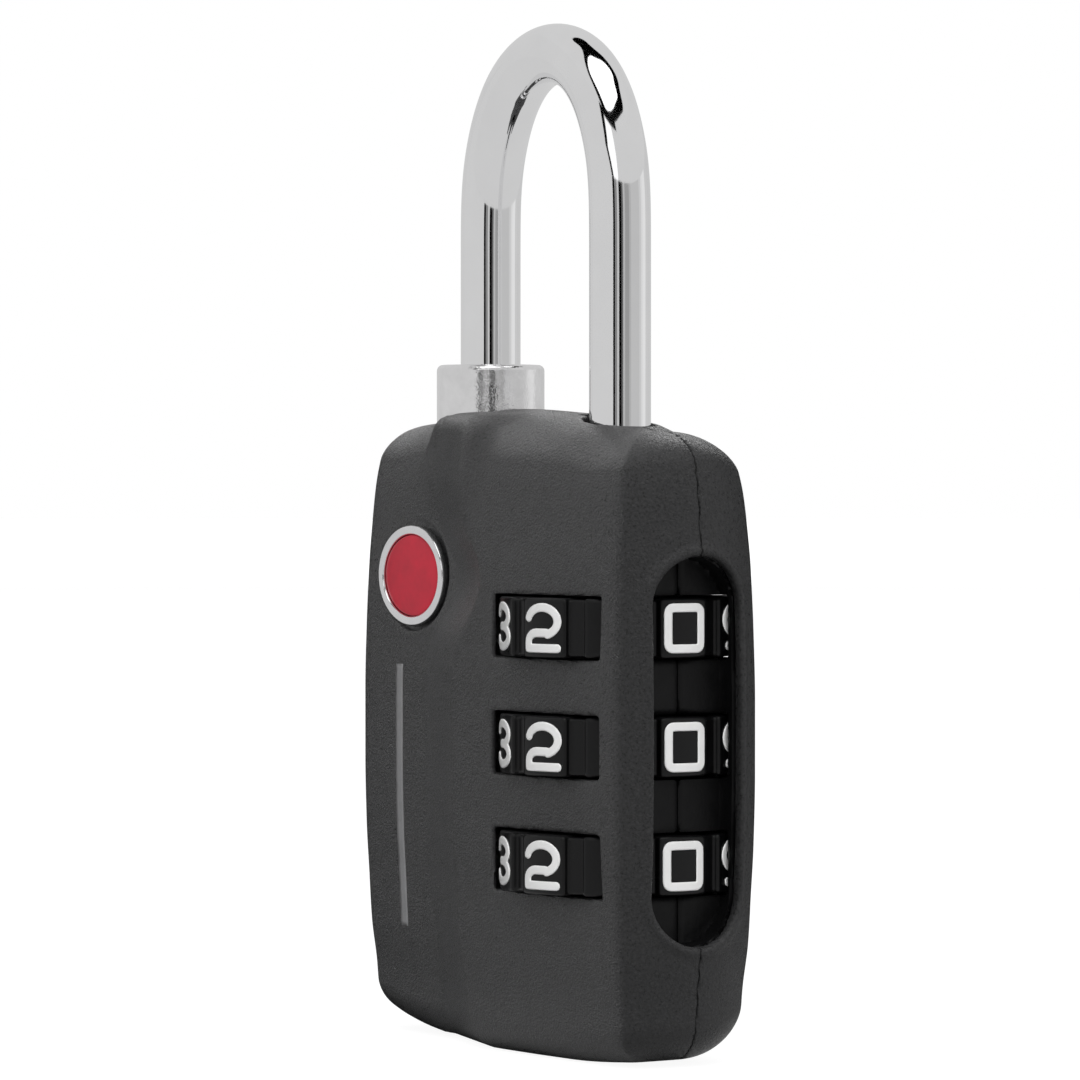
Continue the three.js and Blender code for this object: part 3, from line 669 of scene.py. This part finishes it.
for k, cz in enumerate(DIAL_Z):
    turn = (1.5, 1.25, 2.1)[k] * RAD                  # the dials never line up perfectly
    ca, sa = math.cos(-turn), math.sin(-turn)
    v = vd.copy()
    v[:, 0], v[:, 1] = vd[:, 0] * ca - vd[:, 1] * sa, vd[:, 0] * sa + vd[:, 1] * ca
    v[:, 2] += cz
    ob = mesh_object(f"number_dial_{k + 1}", to_row(v), qd, M_DIAL)
    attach(ob, f"dial_{k + 1}")
    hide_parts(f"dial_{k + 1}")
    vs, qs, off = [], [], 0
    for dg in range(10):
        gv, gq = glyph_mesh[dg]
        phi = dg * 36 * RAD + turn - gv[:, 0] / DIAL_R
        r = DIAL_R + gv[:, 2] - 0.03
        vs.append(np.stack([r * np.cos(phi), -r * np.sin(phi), gv[:, 1] + cz], 1))
        qs.append(gq + off)
        off += len(gv)
    ob = mesh_object(f"numbers_{k + 1}", to_row(np.vstack(vs)), np.vstack(qs), M_NUM)
    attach(ob, f"dial_{k + 1}")


# --------------------------------------------------------------------------
# swept and turned pieces
# --------------------------------------------------------------------------
def lathe(profile, cx, cy, seg):
    """closed profile of (radius, z), turned about an upright axis"""
    P = np.array(profile, float)
    m = len(P)
    v, f = [], []
    for i in range(seg):
        a = 2 * math.pi * i / seg
        for r, z in P:
            v.append((cx + r * math.cos(a), cy + r * math.sin(a), z))
    for i in range(seg):
        j = (i + 1) % seg
        for k in range(m):
            l = (k + 1) % m
            f.append((i * m + k, j * m + k, j * m + l, i * m + l))
    return np.array(v), f


def corner(r0, z0, rad, a0, a1, n=6):
    return [(r0 + rad * math.cos((a0 + (a1 - a0) * i / n) * RAD), z0 + rad * math.sin((a0 + (a1 - a0) * i / n) * RAD)) for i in range(n + 1)]


BAR_R = 1.75
ARCH_Z, ARCH_RISE, LEG_END, TOE_END = 48.45, 8.4, 5.5, 32.9
a_half, cx = -KEY_X / 2, KEY_X / 2
stations = []           # (point, tangent, radius)
for z, r in ((LEG_END, 1.05), (LEG_END, 1.45), (LEG_END + 0.08, 1.62), (LEG_END + 0.3, 1.75)):
    stations.append(((0, z), (0, 1), r))
for z in np.linspace(LEG_END + 1.2, ARCH_Z, 40):
    stations.append(((0, z), (0, 1), BAR_R))
NA = 96
for i in range(1, NA):
    t = math.pi * i / NA
    # half an ellipse for the bow
    tx, tz = -a_half * math.sin(t), ARCH_RISE * math.cos(t)
    L = math.hypot(tx, tz)
    stations.append(((cx + a_half * math.cos(t), ARCH_Z + ARCH_RISE * math.sin(t)), (tx / L, tz / L), BAR_R))
for z in np.linspace(ARCH_Z, TOE_END + 0.9, 22):
    stations.append(((KEY_X, z), (0, -1), BAR_R))
for dz, r in ((0.55, 1.74), (0.3, 1.62), (0.12, 1.40), (0.03, 1.15), (0.0, 0.8), (0.0, 0.02)):
    stations.append(((KEY_X, TOE_END + dz), (0, -1), r))
# ease the line of the bar from the straight legs into the bend
line = np.array([p for p, t, r in stations], float)
body = [i for i, (p, t, r) in enumerate(stations) if r == BAR_R and p[1] > TOE_END + 1.0]
run = line[body]
seg = np.concatenate([[0], np.cumsum(np.hypot(*np.diff(run, axis=0).T))])
grid = np.arange(0, seg[-1], 0.25)
dense = np.stack([np.interp(grid, seg, run[:, 0]), np.interp(grid, seg, run[:, 1])], 1)
kern = np.exp(-0.5 * (np.arange(-20, 21) * 0.25 / 1.5) ** 2)
kern /= kern.sum()
pad_a = dense[0] + (dense[0] - dense[1]) * np.arange(20, 0, -1)[:, None]
pad_b = dense[-1] + (dense[-1] - dense[-2]) * np.arange(1, 21)[:, None]
long_line = np.vstack([pad_a, dense, pad_b])
eased = np.stack([np.convolve(long_line[:, k], kern, "valid") for k in (0, 1)], 1)
share = soft_step((ARCH_Z + 7.5 - dense[:, 1]) / 4.5)[:, None]
dense = dense + (eased - dense) * share
tang = np.gradient(dense, axis=0)
tang /= np.hypot(tang[:, 0], tang[:, 1])[:, None]
head, tail = stations[:body[0]], stations[body[-1] + 1:]
stations = head + [((p[0], p[1]), (t[0], t[1]), BAR_R) for p, t in zip(dense, tang)] + tail
SIDES = 64
vs, fs = [], []
for (px, pz), (tx, tz), r in stations:
    for k in range(SIDES):
        a = 2 * math.pi * k / SIDES
        # section plane: normal in the plane of the bow, binormal along y
        vs.append((px + r * math.cos(a) * tz, r * math.sin(a), pz - r * math.cos(a) * tx))
for i in range(len(stations) - 1):
    for k in range(SIDES):
        l = (k + 1) % SIDES
        fs.append((i * SIDES + k, i * SIDES + l, (i + 1) * SIDES + l, (i + 1) * SIDES + k))
# blind bore for the lift spring, closing the lower end
bore = [(1.05, LEG_END), (1.05, 14.0), (0.8, 14.2), (0.02, 14.2)]
base = 0
prev = [k for k in range(SIDES)]
for r, z in bore[1:]:
    cur = []
    for k in range(SIDES):
        a = 2 * math.pi * k / SIDES
        cur.append(len(vs))
        vs.append((r * math.cos(a), r * math.sin(a), z))
    for k in range(SIDES):
        l = (k + 1) % SIDES
        fs.append((prev[k], cur[k], cur[l], prev[l]))
    prev = cur
fs.append(tuple(reversed(prev)))
last = (len(stations) - 1) * SIDES
fs.append(tuple(last + k for k in range(SIDES)))
shackle = mesh_object("shackle_bar", to_row(vs), fs, M_CHROME)
# lugs of the long leg, joined to the bar
for k in range(3):
    top = DIAL_Z[k] - 6.6 + 3.0
    bpy.ops.mesh.primitive_cube_add(size=1)
    cub = bpy.context.object
    cub.name = f"tmp_lug_{k}"
    cub.data.transform(Matrix.Diagonal((1.6e-3, 1.2e-3, 1.5e-3, 1)))
    cub.data.transform(Matrix.Translation(((DX - 1.7) * 1e-3, 0, (top - 0.75 + DZ) * 1e-3)))
    bv = cub.modifiers.new("b", "BEVEL")
    bv.width, bv.segments = 0.00015, 3
    bpy.context.view_layer.objects.active = cub
    bpy.ops.object.modifier_apply(modifier="b")
    bo = shackle.modifiers.new("lug", "BOOLEAN")
    bo.operation, bo.object, bo.solver = "UNION", cub, "EXACT"
    bpy.context.view_layer.objects.active = shackle
    bpy.ops.object.modifier_apply(modifier="lug")
    bpy.data.objects.remove(cub, do_unlink=True)
shackle.data.polygons.foreach_set("use_smooth", np.ones(len(shackle.data.polygons), bool))
es = shackle.modifiers.new("edges", "EDGE_SPLIT")
es.split_angle = 40 * RAD
bpy.context.view_layer.objects.active = shackle
bpy.ops.object.modifier_remove(modifier="edges")
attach(shackle, "shackle")
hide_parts("shackle")

# collar: stem in the case, thicker neck above, rounded rim, counterbored mouth
prof = [(2.0, 30.9), (2.0, 38.5)] + corner(2.42, 38.72, 0.38, 180, 90, 6)[1:] \
    + corner(2.80, 38.75, 0.35, 90, 0, 8) + [(3.15, 34.15)] + corner(3.0, 34.1, 0.15, 0, -90, 3) + [(2.75, 33.95), (2.75, 30.4)] \
    + [(2.6, 30.2), (0.0001, 30.2), (0.0001, 30.9)]
v, f = lathe(prof, KEY_X, 0, 96)
collar = mesh_object("leg_collar", to_row(v), f, M_COLLAR)
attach(collar, "case")
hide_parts("toe_collar")


# badge: oval bright ring with a plain domed enamel panel
def oval_ring(profile, a, b, seg):
    """profile of (offset outwards, depth y); swept round an oval in the x-z plane"""
    v, f = [], []
    m = len(profile)
    for i in range(seg):
        t = 2 * math.pi * i / seg
        nx, nz = math.cos(t) / a, math.sin(t) / b
        L = math.hypot(nx, nz)
        nx, nz = nx / L, nz / L
        for o, y in profile:
            v.append((BADGE[0] + a * math.cos(t) + nx * o, y, BADGE[1] + b * math.sin(t) + nz * o))
    for i in range(seg):
        j = (i + 1) % seg
        for k in range(m):
            l = (k + 1) % m
            f.append((i * m + k, i * m + l, j * m + l, j * m + k))
    return np.array(v), f


y0 = -3.97
prof = [(-0.52, y0), (-0.52, -4.30), (-0.46, -4.40), (-0.36, -4.455), (-0.20, -4.455), (-0.06, -4.40), (0.0, -4.30), (0.0, y0)]
v, f = oval_ring(prof, BADGE[2], BADGE[3], 96)
bez = mesh_object("badge_ring", to_row(v), f, M_BEZEL)
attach(bez, "case")
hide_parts("badge_bezel")
# enamel panel with a shallow dome
A, Bz = BADGE[2] - 0.56, BADGE[3] - 0.56
vs, fs = [], []
SEG = 96
rings = [(1.0, y0), (1.0, -4.20), (0.985, -4.235), (0.95, -4.26)] + [(0.9 - 0.09 * i, -4.262 - 0.10 * (1 - (0.9 - 0.09 * i) ** 2)) for i in range(0, 10)]
for s, y in rings:
    for i in range(SEG):
        t = 2 * math.pi * i / SEG
        vs.append((BADGE[0] + A * s * math.cos(t), y, BADGE[1] + Bz * s * math.sin(t)))
for k in range(len(rings) - 1):
    for i in range(SEG):
        j = (i + 1) % SEG
        fs.append((k * SEG + i, k * SEG + j, (k + 1) * SEG + j, (k + 1) * SEG + i))
fs.append(tuple(reversed(range(SEG))))
top0 = (len(rings) - 1) * SEG
vs.append((BADGE[0], -4.365, BADGE[1]))
for i in range(SEG):
    fs.append((top0 + i, top0 + (i + 1) % SEG, len(vs) - 1))
ena = mesh_object("badge_panel", to_row(vs), fs, M_ENAMEL)
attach(ena, "case")
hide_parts("badge_inlay")


# printed pin stripe on the key side
def on_front(xs, zs, lift):
    """points on the front of the case at given x and z"""
    y = np.full(len(xs), -4.4)
    for _ in range(12):
        fv = f_outer(xs, y, zs) - lift
        gy = (f_outer(xs, y + 1e-3, zs) - f_outer(xs, y - 1e-3, zs)) / 2e-3
        y = y - fv / np.minimum(gy, -0.3)
    return np.stack([xs, y, zs], 1)


def stripe(name, x0, x1, z0, z1, nz):
    nx = 5
    X, Z = np.meshgrid(np.linspace(x0, x1, nx), np.linspace(z0, z1, nz), indexing="ij")
    X = X + 0.0 * Z
    top_ = on_front(X.ravel(), Z.ravel(), 0.018)
    bot = on_front(X.ravel(), Z.ravel(), -0.03)
    n = nx * nz
    v = np.vstack([top_, bot])
    f = []
    for i in range(nx - 1):
        for j in range(nz - 1):
            a, b, c, d = i * nz + j, (i + 1) * nz + j, (i + 1) * nz + j + 1, i * nz + j + 1
            f += [(a, b, c, d), (n + d, n + c, n + b, n + a)]
    for j in range(nz - 1):
        f += [(j, j + 1, n + j + 1, n + j), ((nx - 1) * nz + j + 1, (nx - 1) * nz + j, n + (nx - 1) * nz + j, n + (nx - 1) * nz + j + 1)]
    for i in range(nx - 1):
        f += [((i + 1) * nz, i * nz, n + i * nz, n + (i + 1) * nz), (i * nz + nz - 1, (i + 1) * nz + nz - 1, n + (i + 1) * nz + nz - 1, n + i * nz + nz - 1)]
    ob = mesh_object(name, to_row(v), f, M_PRINT)
    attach(ob, "case")
    return ob


stripe("printed_line", -17.25, -16.45, 6.2, 21.6, 60)

# --------------------------------------------------------------------------
# carried-over CAD pieces with their own materials
# --------------------------------------------------------------------------
KEEP = {
    "sleeve_1": M_SLEEVE, "sleeve_2": M_SLEEVE, "sleeve_3": M_SLEEVE, "spring_cap": M_STEEL,
    "shackle_spring": M_SPRING, "sleeve_spring": M_SPRING, "dial_detent_spring": M_SPRING,
    "cylinder_housing": M_BRASS, "key_plug": M_PLUG,
    "wafer_1": M_BRASS, "wafer_2": M_BRASS, "wafer_3": M_BRASS, "wafer_4": M_BRASS,
    "plug_clip": M_STEEL, "plug_cam": M_STEEL, "release_bolt": M_STEEL,
    "body_rivet_1": M_STEEL, "body_rivet_2": M_STEEL, "body_rivet_3": M_STEEL, "body_rivet_4": M_STEEL,
}
for name, mat in KEEP.items():
    ob = frame["nodes"][name]
    if not ob.material_slots:
        ob.data.materials.append(mat)
    for s in ob.material_slots:
        s.material = mat

# --------------------------------------------------------------------------
# floor, studio and camera
# --------------------------------------------------------------------------
def emission(name, strength, color=(1, 1, 1)):
    m = bpy.data.materials.new(name)
    m.use_nodes = True
    nt = m.node_tree
    nt.nodes.clear()
    e = nt.nodes.new("ShaderNodeEmission")
    e.inputs["Color"].default_value = (*color, 1)
    e.inputs["Strength"].default_value = strength
    o = nt.nodes.new("ShaderNodeOutputMaterial")
    nt.links.new(e.outputs[0], o.inputs["Surface"])
    return m


FR = 3.0
bpy.ops.mesh.primitive_circle_add(vertices=96, radius=FR, fill_type="NGON", location=(0, 0, 0))
floor = bpy.context.object
floor.name = "studio_floor"
fm = bpy.data.materials.new("floor_white")
fm.use_nodes = True
fb = fm.node_tree.nodes["Principled BSDF"]
fb.inputs["Base Color"].default_value = (0.30, 0.30, 0.30, 1)
fb.inputs["Roughness"].default_value = 0.9
fb.inputs["Specular IOR Level"].default_value = 0.1
fb.inputs["Emission Color"].default_value = (1, 1, 1, 1)
fb.inputs["Emission Strength"].default_value = 0.92
floor.data.materials.append(fm)
floor.visible_diffuse = False
floor.visible_glossy = False

TENT_R, TENT_H = 1.2, 1.0


def studio_piece(ob, diffuse=True, glossy=True):
    ob.visible_camera = False
    ob.visible_shadow = False
    ob.visible_diffuse = diffuse
    ob.visible_glossy = glossy
    return ob


def panel(name, pts, z, strength, **kw):
    """flat studio panel from a plan outline"""
    ob = mesh_object(name, [(x, y, z) for x, y in pts], [tuple(range(len(pts)))], emission(name + "_m", strength), smooth=False)
    return studio_piece(ob, **kw)


def ring(r, n=96, x=0.0, y=0.0):
    return [(x + r * math.cos(2 * math.pi * i / n), y + r * math.sin(2 * math.pi * i / n)) for i in range(n)]


# what lies below the horizon: dark for soft light, pale for reflections, with a
# dark patch right under the lock
panel("studio_under", ring(1.3), -0.004, 0.0)
panel("studio_under_pale", [(0, 0)] + [(1.25 * math.sin(a * RAD), -1.25 * math.cos(a * RAD)) for a in range(-66, 181, 6)], -0.002, 0.64, diffuse=False)
left_floor = panel("studio_under_left", [(0, 0)] + [(1.25 * math.sin(a * RAD), -1.25 * math.cos(a * RAD)) for a in range(-180, -65, 6)], -0.002, 0.64, diffuse=False)
panel("studio_under_dark", [(x, 0.32 * y) for x, y in ring(0.0135)], -0.001, 0.0, diffuse=False)


# soft tent: sectors by azimuth (0 looks at the front, + towards the dial side)
SECT = [(-180, -118, 0.60), (-118, -66, 0.63), (-66, 31, 0.65), (31, 38, 0.0), (38, 46, 0.24), (46, 53, 0.58), (53, 62, 0.0),
        (62, 68, 0.12), (68, 75, 0.50), (75, 91, 0.34), (91, 98, 0.46), (98, 133, 0.54), (133, 142, 0.62), (142, 150, 0.74), (150, 166, 0.80),
        (166, 180, 0.62)]


def band(name, a0, a1, z0, z1, r, strength, b0=None, b1=None, **kw):
    """upright strip between two azimuths; b0 and b1 are the azimuths of its upper edge"""
    n = max(2, int(abs(a1 - a0) / 4) + 1)
    b0 = a0 if b0 is None else b0
    b1 = a1 if b1 is None else b1
    v, f = [], []
    for i in range(n + 1):
        k = i / n
        for z, a in ((z0, a0 + (a1 - a0) * k), (z1, b0 + (b1 - b0) * k)):
            v.append((r * math.sin(a * RAD), -r * math.cos(a * RAD), z))
    for i in range(n):
        f.append((2 * i, 2 * i + 1, 2 * i + 3, 2 * i + 2))
    ob = mesh_object(name, np.array(v), f, emission(name + "_m", strength), smooth=False)
    return studio_piece(ob, **kw)


def serves(ob, receivers):
    """let a light reach only some pieces"""
    col = bpy.data.collections.new(ob.name + "_serves")
    for r in receivers:
        col.objects.link(r)
    ob.light_linking.receiver_collection = col


serves(left_floor, [shackle, collar, bez])
WALL_H = 0.30
for i, (a0, a1, s) in enumerate(SECT):
    w = band(f"studio_wall_{i}", a0, a1, -0.004, WALL_H, TENT_R, s)
    if a0 < -100:
        serves(w, [shackle, collar, bez])
# above the walls the tent is even, apart from the overhead box and its dark edges
band("studio_upper_wall", -66, 180, WALL_H, TENT_H, TENT_R, 0.65)
serves(band("studio_upper_wall_2", -180, -66, WALL_H, TENT_H, TENT_R, 0.65), [shackle, collar, bez])
band("studio_upper_line", 31, 38, WALL_H, 0.50, TENT_R - 0.01, 0.0, b0=16, b1=24)
band("studio_upper_edge", 16, 24, 0.50, TENT_H, TENT_R - 0.01, 0.0, b0=17, b1=27)
band("studio_upper_glow", 38.5, 54, WALL_H, 0.50, TENT_R - 0.012, 1.15, b0=24.5, b1=52)
band("studio_upper_glow_2", 24.5, 52, 0.50, 0.86, TENT_R - 0.012, 1.15, b0=28, b1=46)
band("studio_upper_band", 26, 66, TENT_H - 0.12, TENT_H, TENT_R - 0.014, 0.0)
panel("studio_roof", ring(1.25), TENT_H, 0.66)


def softened(pts, times=3):
    """cut the corners of a closed outline"""
    for _ in range(times):
        out = []
        for i in range(len(pts)):
            (x0, y0), (x1, y1) = pts[i], pts[(i + 1) % len(pts)]
            out += [(0.75 * x0 + 0.25 * x1, 0.75 * y0 + 0.25 * y1), (0.25 * x0 + 0.75 * x1, 0.25 * y0 + 0.75 * y1)]
        pts = out
    return pts


BOX_EDGE = [(-0.42, -0.16), (-0.38, 0.26), (-0.12, 0.24), (0.0, 0.52), (0.20, 0.78), (0.50, 0.60), (0.78, 0.58), (0.95, 0.38), (1.12, -0.42),
            (0.90, -1.10), (0.44, -1.08), (0.06, -0.86), (-0.02, -0.70), (-0.12, -0.12)]
BOX = [(-0.10, -0.10), (0.02, 0.10), (0.04, 0.36), (0.20, 0.64), (0.44, 0.44), (0.66, 0.42), (0.78, 0.28), (0.98, -0.42), (0.78, -0.98), (0.46, -0.92), (0.12, -0.84),
       (-0.02, -0.72)]
panel("studio_box_edge", softened(BOX_EDGE), TENT_H - 0.004, 0.0)
panel("studio_box", softened([(0.43 + (x - 0.43) * 0.84, -0.16 + (y + 0.16) * 0.86) for x, y in BOX]), TENT_H - 0.008, 1.5)


def soft_box(name, az, el, dist, width, height, power, receivers, glossy=True, at=(0, 0, 0.02)):
    """area light aimed at one point of the case"""
    ld = bpy.data.lights.new(name, "AREA")
    ld.shape, ld.size, ld.size_y, ld.energy = "RECTANGLE", width, height, power
    ob = bpy.data.objects.new(name, ld)
    bpy.context.scene.collection.objects.link(ob)
    a, e = az * RAD, el * RAD
    d = Vector((math.sin(a) * math.cos(e), -math.cos(a) * math.cos(e), math.sin(e)))
    ob.location = d * dist + Vector(at)
    ob.rotation_euler = d.to_track_quat("Z", "Y").to_euler()
    ob.visible_camera = False
    ob.visible_glossy = glossy
    serves(ob, receivers)
    return ob


# soft boxes that only serve some pieces: a low strip and a high box that give
# the case its sheen, and a fill beside the camera for the numbers and the badge
soft_box("strip_sheen", -48, 4, 1.0, 0.20, 0.60, 3.3, [front, rear])
soft_box("top_sheen", 75, 70, 1.0, 0.36, 0.36, 2.0, [front, rear])
soft_box("high_sheen", -112, 36, 1.0, 1.1, 0.40, 5.0, [front, rear])
soft_box("number_fill", 60, 5, 1.0, 0.6, 0.6, 9.5, [o for o in bpy.data.objects if o.name.startswith("numbers_")] + [ena], glossy=False)

world = bpy.data.worlds.new("studio_white")
bpy.context.scene.world = world
world.use_nodes = True
world.node_tree.nodes["Background"].inputs["Color"].default_value = (1, 1, 1, 1)
world.node_tree.nodes["Background"].inputs["Strength"].default_value = 1.0
bpy.context.scene.view_settings.view_transform = "Standard"
bpy.context.scene.view_settings.look = "None"

cam = bpy.data.cameras.new("camera")
cam.sensor_width = 36.0
cam.sensor_fit = "HORIZONTAL"
cam.lens = 183.33
cam.clip_start, cam.clip_end = 0.01, 20
camo = bpy.data.objects.new("camera", cam)
bpy.context.scene.collection.objects.link(camo)
bpy.context.scene.camera = camo
AZ, PITCH = 57.0 * RAD, 0.79 * RAD
right = Vector((math.cos(AZ), math.sin(AZ), 0))
fwd = Vector((-math.sin(AZ) * math.cos(PITCH), math.cos(AZ) * math.cos(PITCH), -math.sin(PITCH)))
up = right.cross(fwd)
pos = Vector((DX + 258.1, -173.0, 33.3 + DZ)) * 0.001
camo.matrix_world = Matrix(((right.x, up.x, -fwd.x, pos.x), (right.y, up.y, -fwd.y, pos.y), (right.z, up.z, -fwd.z, pos.z), (0, 0, 0, 1)))

bpy.context.view_layer.update()
